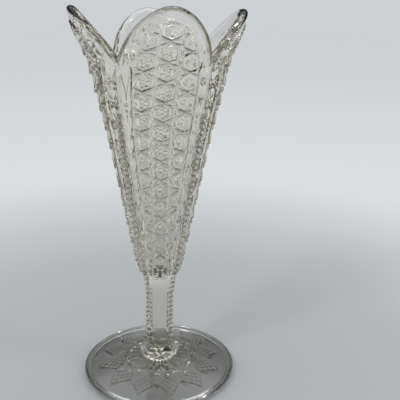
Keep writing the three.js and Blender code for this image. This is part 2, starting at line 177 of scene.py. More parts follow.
@dataclass(frozen=True)
class Patch:
    """A stretch of surface: its points in millimetres and the triangles between them."""

    points: Array
    triangles: Array

    @staticmethod
    def from_grid(points: Array, rising: Array | bool = True) -> "Patch":
        """Surface over a grid of points, with two triangles for each cell.

        Args:
            points: Grid of points, rows by columns by 3.
            rising: True for each cell that is cut from its first corner to the opposite one.

        Returns:
            The patch.
        """
        rows, columns = points.shape[:2]
        index = np.arange(rows * columns).reshape(rows, columns)
        a, b, c, d = index[:-1, :-1], index[:-1, 1:], index[1:, 1:], index[1:, :-1]
        cut = np.broadcast_to(rising, a.shape)[..., None]
        first = np.where(cut, np.stack([a, b, c], -1), np.stack([a, b, d], -1))
        second = np.where(cut, np.stack([a, c, d], -1), np.stack([b, c, d], -1))
        triangles = np.concatenate([first.reshape(-1, 3), second.reshape(-1, 3)])
        return Patch(points.reshape(-1, 3), triangles)

    @staticmethod
    def from_half(half: Array) -> "Patch":
        """Surface over a grid that is given from the middle of the face on."""
        return Patch.from_grid(with_mirror_half(half))

    @staticmethod
    def between_rings(first: Array, second: Array) -> "Patch":
        """Surface between two closed rings that start at about one angle, with unlike numbers of points.

        The points of both rings are taken in the order of their angles, and each adds one triangle to the
        newest points of the two rings.

        Args:
            first: Points of one ring, in order.
            second: Points of the other ring.

        Returns:
            The patch.
        """
        passed = np.concatenate([np.arange(1, len(ring) + 1) / len(ring) for ring in (first, second)])
        from_first = np.arange(len(passed)) < len(first)
        own = from_first[np.lexsort((~from_first, passed))]
        a, b = np.cumsum(own), np.cumsum(~own)
        near, far = len(first), len(second)
        triangles = np.where(
            own[:, None],
            np.stack([(a - 1) % near, a % near, near + b % far], -1),
            np.stack([a % near, near + b % far, near + (b - 1) % far], -1),
        )
        return Patch(np.concatenate([first, second]), triangles)

    def turned(self, angle: float) -> "Patch":
        """The patch turned about the vase's axis."""
        return Patch(turned(self.points, angle), self.triangles)


def on_each_side(patches: list[Patch]) -> list[Patch]:
    """Patches of the front side, repeated on all four sides."""
    return [patch.turned(side.value) for patch in patches for side in Side]


@dataclass(frozen=True)
class VaseForm:
    """Smooth form of the stem and bowl, before beads and panels: millimetres, and degrees for its twist.

    Flares and corners are read along the rises, shares of the bowl's height. A flare is the share of the way
    from the stem to the petals' reach. A corner is a share of the face's distance.
    """

    height: float
    petal_reach: float
    stem_half: float
    stem_foot: float
    bowl_foot: float
    hollow_floor: float = 60.0
    notch_depth: float = 24.0
    arch_terms: Triple = (1.95, -1.45, 0.5)
    wall: float = 4.7
    rim_wall: float = 5.3
    rim_round: float = 2.2
    rises: Values = (0, 0.055, 0.107, 0.187, 0.387, 0.593, 0.733, 0.827, 0.92, 1)
    flares: Values = (0, 0.043, 0.104, 0.166, 0.313, 0.473, 0.607, 0.711, 0.882, 1)
    corners: Values = (1.177, 1.12, 1.09, 1.09, 1.085, 1.065, 1.01, 0.946, 0.93, 0.92)
    twist_foot: float = -3.5
    twist_rim: float = 2.5
    twist_start: float = 125.0
    twist_end: float = 200.0
    rim_samples: int = 2000
    angle_rounds: int = 12
    normal_step: float = 0.05
    lean_step: float = 1.0

    @property
    def notch(self) -> float:
        """Height of the rim's outer edge at the notches between the petals."""
        return self.height - self.notch_depth - self.rim_round

    def rise(self, height: Array) -> Array:
        """Share of the bowl's height, 0 at its foot and below."""
        return np.clip((height - self.bowl_foot) / (self.height - self.bowl_foot), 0.0, 1.0)

    def face(self, height: Array) -> Array:
        """Distance from the axis to the middle of a face."""
        flare = smooth_curve(self.rises, self.flares, self.rise(height))
        return mix(self.stem_half, self.petal_reach, flare)

    def lean(self, height: Array) -> Array:
        """How far the middle of a face leans out for each millimetre of height."""
        step = self.lean_step
        return (self.face(height + step) - self.face(height - step)) / (2 * step)

    def radius(self, angle: Array, height: Array) -> Array:
        """Distance from the axis to the outer surface."""
        face, corner = self.face(height), smooth_curve(self.rises, self.corners, self.rise(height))
        return section_radius(angle, face, face * corner)

    def wall_at(self, height: Array) -> Array:
        """Thickness of the bowl's wall, which grows towards the rim with the square of the height."""
        rise = np.clip((height - self.hollow_floor) / (self.height - self.hollow_floor), 0.0, 1.0)
        return mix(self.wall, self.rim_wall, rise**2)

    def rim_edge(self, angle: Array) -> Array:
        """Height of the rim's outer edge: an arch over each face that falls to a notch at each corner.

        It falls with the second, third and fourth power of the share of the angle.

        Args:
            angle: Angle from the middle of a face.

        Returns:
            The height at each angle.
        """
        share = np.abs(angle) / EIGHTH
        second, third, fourth = self.arch_terms
        fall = self.notch_depth * share**2 * (second + third * share + fourth * share**2)
        return self.height - fall - self.rim_round

    def rim_angle(self, height: Array) -> Array:
        """Angle at which the rim's outer edge passes a height, and an eighth of a turn below the notches."""
        angles = np.linspace(0.0, EIGHTH, self.rim_samples)
        return np.interp(height, self.rim_edge(angles)[::-1], angles[::-1], left=EIGHTH, right=0.0)

    def point(self, angle: Array, height: Array, inset: Number = 0.0) -> Array:
        """Point of the front side at an angle and a height, moved towards the axis by the inset."""
        return around(self.radius(angle, height) - inset, angle, height)

    def angle_at(self, across: Array, height: Array) -> Array:
        """Angle of a point across from the middle plane: rounds of the arcsine of its share of the radius.

        Args:
            across: Distance from the middle plane.
            height: Height of the point.

        Returns:
            The angle from the middle of the face.
        """
        angle = np.zeros_like(across)
        for _ in range(self.angle_rounds):
            angle = np.arcsin(np.clip(across / self.radius(angle, height), -1.0, 1.0))
        return angle

    def outward(self, angle: Array, height: Array) -> Array:
        """Direction square to the smooth form, from the cross product of its two slopes.

        Args:
            angle: Angle from the middle of a face.
            height: Height of the point.

        Returns:
            The direction, one unit long.
        """
        step = self.normal_step
        turn = step / self.face(height)
        sideways = self.point(angle + turn, height) - self.point(angle - turn, height)
        upwards = self.point(angle, height + step) - self.point(angle, height - step)
        normal = np.cross(sideways, upwards)
        return normal / np.linalg.norm(normal, axis=-1, keepdims=True)

    def twist(self, height: Array) -> Array:
        """Slight turn, in radians, that the petals took on against the stem when they were flared by hand."""
        share = smooth_step(self.twist_start, self.twist_end, height)
        return np.radians(mix(self.twist_foot, self.twist_rim, share))

    def twisted(self, patch: Patch) -> Patch:
        """The patch with each point turned about the axis by the twist at its height.

        Args:
            patch: Patch before the twist.

        Returns:
            The twisted patch.
        """
        x, y, z = patch.points.T
        turn = self.twist(z)
        cos, sin = np.cos(turn), np.sin(turn)
        return Patch(np.stack([x * cos - y * sin, x * sin + y * cos, z], -1), patch.triangles)


@dataclass(frozen=True)
class ButtonPanel:
    """Framed panel of six-sided buttons on each side of the bowl, as a height above the smooth form.

    The pattern lies on a grid of rows and columns: a button is four times the steps high, and a column of
    buttons two times the steps wide.
    """

    form: VaseForm
    foot: float = 60.0
    foot_round: float = 3.0
    arch: float = 21.7
    margin: float = 6.3
    side_heights: Values = (60, 75, 87, 99, 110, 124, 134, 144, 164, 176)
    side_widths: Values = (4.6, 6.4, 7.5, 8.3, 9.0, 10.9, 12.1, 13.1, 14.6, 14.7)
    column_heights: Values = (60, 88, 107, 128, 149, 168, 200)
    column_widths: Values = (5.7, 7.2, 8.35, 9.1, 9.85, 10.1, 10.1)
    columns_to_edge: float = 1.75
    edge_snap: float = 0.14
    steps: int = 5
    row_table: Triple = (-400.0, 400.0, 0.5)
    middle: float = 133.4
    pitch: float = 10.0
    pitch_change: float = -0.08
    bead_pitch: float = 2.75
    rows_per_bead: int = 6
    plate: float = 0.6
    relief: float = 1.55
    prism_relief: float = 0.95
    least_relief: float = 0.3
    flank_slope: float = 1.55
    foot_slope: float = 0.8
    rounding: float = 0.35
    dish_radius: float = 2.7
    dish_depth: float = 0.55
    uprightness: float = 0.85
    crown_fade: float = 13.0
    crown_levelling: float = 0.85
    crown_sinking: float = 0.3
    border_offsets: Values = (0.35, 0.9, 1.5, 2.1)
    border_heights: Values = (0.35, 1.6, -0.15, 0.0)
    widening: float = 1.1
    widening_rise: float = 9.0
    widening_spread: float = 7.0
    frame_fade: float = 0.8
    fade_below_shoulder: float = 4.0
    fade_above_shoulder: float = 12.0
    fade_above_foot: float = 7.0

    @property
    def top(self) -> float:
        """Height of the arch's crown."""
        return self.form.height - self.margin

    @property
    def shoulder(self) -> float:
        """Height at which the sides turn into the arch."""
        return self.top - self.arch

    @property
    def period(self) -> int:
        """Rows of the grid from one button to the next in its column."""
        return 4 * self.steps

    @property
    def foot_row(self) -> float:
        """Row, with its fraction, at which the panel begins: the lower root of the square law."""
        root = math.sqrt(self.pitch**2 - 4 * self.pitch_change * (self.middle - self.foot))
        return self.period * ((-self.pitch + root) / (2 * self.pitch_change) + 0.5)

    def heights_of(self, row: Array) -> Array:
        """Height of each row of the grid.

        On the panel it is a square law, the middle plus the pitch and its change by the row's share of a
        button. Below the panel the rows are even, with a whole number to each bead.

        Args:
            row: Row of the grid, with its fraction.

        Returns:
            Its height.
        """
        button = (row - self.period / 2) / self.period
        on_panel = self.middle + self.pitch * button + self.pitch_change * button**2
        below = self.foot + (row - self.foot_row) * self.bead_pitch / self.rows_per_bead
        return np.where(row >= self.foot_row, on_panel, below)

    def row_of(self, height: Array) -> Array:
        """Row at a height, the inverse of heights_of."""
        rows = np.arange(*self.row_table)
        return np.interp(height, self.heights_of(rows), rows)

    def column_of(self, across: Array, height: Array) -> Array:
        """Column of the grid, with its fraction, at a distance from the middle plane."""
        return across / smooth_curve(self.column_heights, self.column_widths, height) * 2 * self.steps

    def width_of(self, columns: Array, height: Array) -> Array:
        """Width of a number of the grid's columns."""
        return columns * smooth_curve(self.column_heights, self.column_widths, height) / (2 * self.steps)

    def outline(self, height: Array, offset: float = 0.0) -> Array:
        """Half width of the panel's outline, or of the line that runs outside it at an offset.

        The sides follow a smooth curve through the widths, the arch is half an ellipse and the foot is
        rounded. Above and below the line the half width is zero.

        Args:
            height: Height on the bowl.
            offset: How far the line runs outside the outline.

        Returns:
            The half width.
        """
        level = np.clip(height, self.foot + self.foot_round, self.shoulder)
        side = smooth_curve(self.side_heights, self.side_widths, level) + offset
        above = np.clip((height - self.shoulder) / (self.arch + offset), 0.0, 1.0)
        below = np.clip((self.foot + self.foot_round - height) / (self.foot_round + offset), 0.0, 1.0)
        return side * np.sqrt(1 - above**2) * np.sqrt(1 - below**2)

    def frame_line(self, height: Array, offset: float) -> Array:
        """Half width of a line of the frame, whose offset grows as a bell curve at the arch's shoulders.

        Args:
            height: Height on the bowl.
            offset: How far the line runs outside the outline.

        Returns:
            The half width.
        """
        line = self.outline(height, offset)
        away = (height - self.shoulder - self.widening_rise) / self.widening_spread
        return line + np.where(line > 0, offset * self.widening * np.exp(-(away**2)), 0.0)

    def across(self, height: Array) -> Array:
        """Distance of the grid's columns from the middle plane, held at the outline, rows by columns.

        Args:
            height: Height of each row.

        Returns:
            The distances.
        """
        columns = np.arange(int(self.columns_to_edge * 2 * self.steps) + 1)
        outline = self.outline(height)[:, None]
        free = self.width_of(columns[None, :], height[:, None])
        return np.where(free > outline - self.edge_snap, outline, free)

    def edge_distance(self, across: Array, height: Array) -> Array:
        """Distance from a place on the panel to its outline.

        It is level at the sides. In the arch it is what the place's share of the ellipse lacks of 1, by that
        share's gradient. At the foot it is no more than a share of the height above the foot.

        Args:
            across: Distance from the middle plane.
            height: Height of the point.

        Returns:
            The distance to the outline.
        """
        half = self.outline(np.full_like(height, self.shoulder))
        up = np.maximum(height - self.shoulder, 0.0)
        share = np.hypot(across / half, up / self.arch)
        gradient = np.hypot(across / half**2, up / self.arch**2) / np.maximum(share, TINY)
        in_arch = (1 - share) / np.maximum(gradient, TINY)
        edge = np.where(height > self.shoulder, in_arch, self.outline(height) - across)
        return np.minimum(edge, self.foot_slope * np.maximum(height - self.foot, 0.0))

    def line_distance(self, across: Array, height: Array) -> Array:
        """Distance to the nearest line of the pattern or of the outline.

        The pattern has upright lines between the columns and two families of slanting lines that cross at
        the tips of the buttons. The distance to a slanting line is the rise to it by the cosine of its slope.

        Args:
            across: Distance from the middle plane.
            height: Height of the point.

        Returns:
            The distance to the nearest line.
        """
        column, row = self.column_of(across, height), self.row_of(height)
        run = smooth_curve(self.column_heights, self.column_widths, height) / 2
        slant = self.pitch / self.period * np.cos(np.arctan2(self.pitch / 4, run))
        upright = self.width_of(np.abs(column % (2 * self.steps) - self.steps), height)
        rising = np.abs(past_nearest(column - row, self.period)) * slant
        falling = np.abs(past_nearest(column + row, self.period)) * slant
        edge = self.edge_distance(across, height)
        return np.clip(np.minimum.reduce([upright, rising, falling, edge]), 0.0, None)

    def nearest_button(self, across: Array, height: Array) -> tuple[Array, Array, Array]:
        """Place against the nearest button, of those in the even and in the odd columns.

        Args:
            across: Distance from the middle plane.
            height: Height of the point.

        Returns:
            True inside the button's six sides, the height above its middle, and the distance from its middle.
        """
        period, row = self.period, self.row_of(height)
        column = self.column_of(across, height)
        found = []
        for first_column, first_row in ((0, period / 2), (period / 2, 0)):
            aside = np.abs(past_nearest(column - first_column, period))
            above = past_nearest(row - first_row, period)
            inside = (aside <= period / 4) & (aside + np.abs(above) <= period / 2)
            rise = above * self.pitch / period
            found.append((inside, rise, np.hypot(self.width_of(aside, height), rise)))
        nearer = found[0][2] <= found[1][2]
        return tuple(np.where(nearer, first, second) for first, second in zip(*found))

    def button_height(self, across: Array, height: Array) -> Array:
        """Height of the pattern: upright-faced buttons with a round dish, and low prisms between them.

        The height is the lesser, with a rounded turn, of a steep flank in proportion to the distance from the
        lines, and of a cap. A button's cap is upright while the bowl leans out: it loses the bowl's own slope
        by the height above the button's middle. A prism's cap is level. Towards the arch's crown the buttons
        sink and lean with the bowl. The dish is a parabola of the distance from the middle.

        Args:
            across: Distance from the middle plane.
            height: Height of the point.

        Returns:
            The height over the smooth form.
        """
        flank = self.flank_slope * self.line_distance(across, height)
        inside, above, distance = self.nearest_button(across, height)
        crown = smooth_step(self.shoulder - self.crown_fade, self.shoulder + self.crown_fade, height)
        lean = self.uprightness * (1 - self.crown_levelling * crown) * self.form.lean(height)
        relief = self.relief * (1 - self.crown_sinking * crown)
        upright = np.maximum(relief - lean * above, self.least_relief)
        cap = np.where(inside, upright, self.prism_relief)
        rise = (flank + cap - np.hypot(flank - cap, self.rounding) + self.rounding) / 2
        dish = np.clip(1 - (distance / self.dish_radius) ** 2, 0.0, 1.0)
        return self.plate * (1 - self.fade(height)) + rise - self.dish_depth * dish

    def border_height(self, outside: Array, height: Array) -> Array:
        """Height of the frame at a distance outside the outline: a narrow groove, a raised line, a bevel."""
        profile = np.interp(outside, (0.0, *self.border_offsets), (self.plate, *self.border_heights))
        return profile * (1 - self.fade(height))

    def fade(self, height: Array) -> Array:
        """Share of their height that the frame and the panel's plate lose, most at the crown and the foot.

        Args:
            height: Height on the panel.

        Returns:
            The share that is lost.
        """
        start, end = self.shoulder - self.fade_below_shoulder, self.shoulder + self.fade_above_shoulder
        foot = smooth_step(self.foot + self.fade_above_foot, self.foot, height)
        return self.frame_fade * np.maximum(smooth_step(start, end, height), foot)

    def special_rows(self) -> list[float]:
        """Heights at which the outline and the frame's lines begin and end."""
        offsets = (0.0, *self.border_offsets)
        return [self.top + offset for offset in offsets] + [self.foot - offset for offset in offsets]


@dataclass(frozen=True)
class BeadRow:
    """Row of beads up each corner, from the foot to below the notches, with a scooped facet above its end.

    Turns are in degrees from the outermost line of the beaded rod.
    """

    form: VaseForm
    panel: ButtonPanel
    bead: float = 3.1
    neck: float = 1.3
    swell_power: float = 0.6
    stand_off: float = 1.0
    start: float = 23.6
    end: float = 150.0
    fade: float = 1.2
    strip: float = 2.1
    scoop: float = 0.7
    turns: Values = (125.0, 95.0, 62.0, 30.0, 0.0)
    edge_turn: float = 150.0

    def radius(self, height: Array) -> Array:
        """Half width of the beads: a power of the sine, full at the middle of each and necked between two."""
        wave = np.sin(math.pi * self.panel.row_of(height) / self.panel.rows_per_bead)
        return mix(self.neck, self.bead, np.abs(wave) ** self.swell_power) / 2

    def presence(self, height: Array) -> Array:
        """1 where there are beads, 0 where there are none, with a short slope at both ends."""
        begun = smooth_step(self.start - self.fade, self.start, height)
        return begun * (1 - smooth_step(self.end, self.end + self.fade, height))

    def facet(self, height: Array) -> Array:
        """Half width of the strip: even along the beads, then half an ellipse up to the notch."""
        share = np.clip((height - self.end) / (self.form.notch - self.end), 0.0, 1.0)
        return self.strip * np.sqrt(1 - share**2)

    def strip_angle(self, height: Array) -> Array:
        """Angle at which the strip with the beads begins."""
        return EIGHTH - self.facet(height) / self.form.radius(np.full_like(height, EIGHTH), height)

    def points(self, height: Array) -> Array:
        """Grid of the strip's half up to the corner line, rows by columns by 3.

        Where there are beads, the columns run round the beaded rod at fixed turns from its outermost line.
        Above them the columns lie on a facet that is scooped out as a parabola and closes at the notch.

        Args:
            height: Height of each row.

        Returns:
            The grid of points.
        """
        corner = np.array([math.sin(EIGHTH), -math.cos(EIGHTH)])
        aside = np.array([-math.cos(EIGHTH), -math.sin(EIGHTH)])
        edge = self.form.point(self.strip_angle(height), height)[:, :2]
        turns = np.radians(self.turns)[None, :]
        reach = self.form.radius(np.full_like(height, EIGHTH), height)[:, None] + self.stand_off
        size = self.radius(height)[:, None]
        rod_out, rod_aside = reach + size * np.cos(turns), size * np.sin(turns)
        share = 1 - turns / math.radians(self.edge_turn)
        depth = self.scoop * (self.facet(height) / self.strip)[:, None]
        facet_out = (edge @ corner)[:, None] - depth * (1 - (1 - share) ** 2)
        facet_aside = (edge @ aside)[:, None] * (1 - share)
        presence = self.presence(height)[:, None]
        out, side = mix(facet_out, rod_out, presence), mix(facet_aside, rod_aside, presence)
        plan = out[..., None] * corner + side[..., None] * aside
        return np.concatenate([plan, np.broadcast_to(height[:, None, None], (*out.shape, 1))], -1)


@dataclass(frozen=True)
class BowlAndStem:
    """Outer skin from the top of the foot to the rim, the rounded rim and the hollow.

    The rim meets the topmost rows at the crown angles, in degrees.
    """

    form: VaseForm
    panel: ButtonPanel
    beads: BeadRow
    plain_shares: Values = (0.25, 0.5, 0.75, 1.0)
    crown_angles: Values = (0.0, 1.5, 3.0, 4.5)
    row_clearance: float = 0.1
    frame_clearance: float = 0.5
    rim_steps: int = 6
    inner_columns: int = 10
    floor_round: float = 7.0
    floor_rows: int = 7
    wall_rows: int = 36

    def heights(self) -> Array:
        """Heights of the rows: the pattern's own rows, and the ends of the panel, frame and rim lines.

        Returns:
            The rising heights.
        """
        form, panel = self.form, self.panel
        crown = form.rim_edge(np.radians(self.crown_angles))
        first, last = math.ceil(panel.row_of(form.stem_foot)), math.floor(panel.row_of(crown[-1]))
        regular = panel.heights_of(np.arange(first, last + 1))
        special = np.array([form.stem_foot, form.notch, *panel.special_rows(), *crown])
        clear = np.abs(regular[:, None] - special[None, :]).min(axis=1) > self.row_clearance
        return np.sort(np.concatenate([regular[clear], special]))

    def petal_heights(self) -> Array:
        """Heights of the rows from the notches up."""
        heights = self.heights()
        return heights[heights >= self.form.notch - TINY]

    def relief(self, heights: Array) -> tuple[Array, Array]:
        """Distances from the middle plane and heights over the form, for the panel and frame columns.

        Args:
            heights: Height of each row.

        Returns:
            The distances and the heights, rows by columns.
        """
        panel, level = self.panel, heights[:, None]
        beyond = np.maximum(level - panel.top, panel.foot - level)
        places = [panel.across(heights)]
        outside = panel.border_height(np.maximum(beyond, 0), level)
        lifts = [np.where(beyond > 0, outside, panel.button_height(places[0], level))]
        for offset in panel.border_offsets:
            places.append(panel.frame_line(level, offset))
            lifts.append(panel.border_height(np.maximum(beyond, offset), level))
        return np.concatenate(places, axis=1), np.concatenate(lifts, axis=1)

    def outer_half(self, heights: Array) -> Array:
        """Half of the outer skin of one side, from the middle of the face to the corner or the rim.

        The relief stands square on the smooth form, and sinks into it where it comes near the strip or rim.

        Args:
            heights: Height of each row.

        Returns:
            The grid of points, rows by columns by 3.
        """
        form, level = self.form, heights[:, None]
        across, lift = self.relief(heights)
        end = np.minimum(self.beads.strip_angle(heights), form.rim_angle(heights))[:, None]
        angle = np.minimum(form.angle_at(across, level), end)
        room = (end - angle) * form.face(level)
        lift = lift * smooth_step(0.0, self.frame_clearance, room)
        skin = form.point(angle, level) + form.outward(angle, level) * lift[..., None]
        plain = form.point(mix(angle[:, -1:], end, np.array(self.plain_shares)), level)
        strip = self.beads.points(heights)
        above = heights >= form.notch
        strip[above] = plain[above, -1:]
        return np.concatenate([skin, plain, strip], axis=1)

    def outer_side(self) -> Patch:
        """Outer skin of one side. The cells are cut along the nearest slanting line of the pattern.

        Returns:
            The patch from corner to corner.
        """
        heights = self.heights()
        grid = with_mirror_half(self.outer_half(heights))
        half, period = grid.shape[1] // 2, self.panel.period
        column, row = np.arange(-half, half) + 0.5, self.panel.row_of(heights)
        middle = ((row[1:] + row[:-1]) / 2)[:, None]
        rising = np.abs(past_nearest(column - middle, period))
        falling = np.abs(past_nearest(column + middle, period))
        return Patch.from_grid(grid, rising <= falling)

    def rim_half(self) -> Array:
        """Half of the rounded rim of one side: a half round section carried along the arch.

        Returns:
            The grid, from the outer edge to the inner one.
        """
        form, edge = self.form, self.petal_heights()[::-1]
        turn = np.linspace(0, math.pi, self.rim_steps + 1)[:, None]
        drop = form.rim_round * (1 - np.sin(turn))
        level = edge + form.rim_round - drop
        return form.point(form.rim_angle(edge), level, (1 - np.cos(turn)) / 2 * form.wall_at(level))

    def inner_half(self) -> Array:
        """Half of the hollow's surface on one side: its floor, rounded as a quarter circle, and its wall.

        Returns:
            The grid, from the floor's middle to the rim.
        """
        form, floor = self.form, self.form.hollow_floor
        rounded = floor + self.floor_round * (1 - np.cos(np.linspace(0.0, QUARTER, self.floor_rows)))
        straight = np.linspace(floor + self.floor_round, form.notch, self.wall_rows)[1:-1]
        level = np.concatenate([rounded, straight, self.petal_heights()])[:, None]
        angle = form.rim_angle(level) * np.linspace(0, 1, self.inner_columns)
        depth = np.clip((level - floor) / self.floor_round, 0.0, 1.0)
        radius = (form.radius(angle, level) - form.wall_at(level)) * np.sqrt(1 - (1 - depth) ** 2)
        return around(radius, angle, level)

    def patches(self) -> list[Patch]:
        """All patches of the stem and bowl."""
        inside = [Patch.from_half(self.rim_half()), Patch.from_half(self.inner_half())]
        return on_each_side([self.outer_side(), *inside])


@dataclass(frozen=True)
class Foot:
    """Round domed foot: its top from the stem to the edge, the edge and the resting ring.

    The top follows a curve through points. Reaches are shares of the way out from the stem, corners are
    shares of the face's distance, and the heights are shares of the edge's, then of the slope's to the
    shoulder, then of the neck's to the stem.
    """

    radius: float
    stem: BowlAndStem
    edge_height: float = 3.4
    shoulder: float = 9.2
    reaches: Values = (1, 0.985, 0.965, 0.93, 0.85, 0.72, 0.56, 0.4, 0.22, 0.12, 0.05, 0.015, 0)
    corners: Values = (1, 1, 1, 1, 1, 1, 1, 1, 1.02, 1.12, 1.2, 1.22)
    edge_shares: Values = (0.85, 1.02)
    slope_shares: Values = (0.03, 0.1, 0.2, 0.38, 0.6, 0.82, 1.0)
    neck_shares: Values = (0.12, 0.32, 0.6, 1.0)
    top_rows: int = 49
    bevel: float = 1.4
    bevel_rows: int = 5
    rest_width: float = 2.6
    rest_bevel: float = 0.25
    undercut: float = 1.9
    dome_rise: float = 4.6
    rosette_radius: float = 18.0

    @property
    def rest_inner(self) -> float:
        """Inner radius of the flat ring that the vase stands on."""
        return self.radius - self.bevel - self.rest_width

    def underside(self, radius: Array) -> Array:
        """Height of the smooth underside, which falls evenly from the rosette to the resting ring."""
        share = (radius - self.rosette_radius) / (self.rest_inner - self.rosette_radius)
        return mix(self.undercut + self.dome_rise, self.undercut, share)

    def top_half(self) -> Array:
        """Half of one side of the top: the stem's lowest section opens along a curve to a full circle.

        Returns:
            The grid, from the edge up to the stem.
        """
        form, edge, shoulder = self.stem.form, self.edge_height, self.shoulder
        foot = form.stem_foot
        slope, neck = np.array(self.slope_shares), np.array(self.neck_shares)
        parts = [edge * np.array(self.edge_shares), mix(edge, shoulder, slope), mix(shoulder, foot, neck)]
        knots = np.arange(len(self.reaches))
        spots = np.linspace(0, knots[-1], self.top_rows)[:, None]
        outer = mix(form.stem_half, self.radius, smooth_curve(knots, self.reaches, spots))
        level = smooth_curve(knots, np.concatenate(parts), spots)
        corner = smooth_curve(knots, (*self.corners, form.corners[0]), spots)
        seam = self.stem.outer_half(np.array([foot]))[0]
        seam = seam[int(np.argmax(seam[:, 0] > TINY)) - 1:]
        stem_angle = np.arctan2(seam[:, 0], -seam[:, 1])
        near = np.clip((foot - level) / (foot - shoulder), 0.0, 1.0)
        angle = mix(stem_angle, np.linspace(0, EIGHTH, len(seam)), near)
        grid = around(section_radius(angle, outer, outer * corner), angle, level)
        grid[-1] = seam
        return grid

    def edge_half(self) -> Array:
        """Half of one side of the edge, a quarter ellipse, and of the resting ring, down and inwards.

        Returns:
            The grid, from the top's outer edge to the resting ring's inner edge.
        """
        top = self.top_half()[0]
        turn = np.linspace(0, 1, self.bevel_rows + 1)[1:, None]
        bulge = self.radius - self.bevel * (1 - np.sqrt(1 - turn**2))
        radius = np.concatenate([[[self.radius]], bulge, [[self.rest_inner + self.rest_bevel]]])
        level = np.concatenate([top[:1, 2:3], top[0, 2] * (1 - turn), [[0.0]]])
        return around(radius, np.arctan2(top[:, 0], -top[:, 1]), level)

    def patches(self) -> list[Patch]:
        """All patches of the foot down to the inner edge of the resting ring."""
        return on_each_side([Patch.from_half(self.top_half()), Patch.from_half(self.edge_half())])

    def inner_ring(self) -> Array:
        """Closed ring of points at the inner edge of the resting ring, from the front-left corner onwards."""
        side = with_mirror_half(self.edge_half())[-1, :-1]
        return np.concatenate([turned(side, turn.value) for turn in Side])


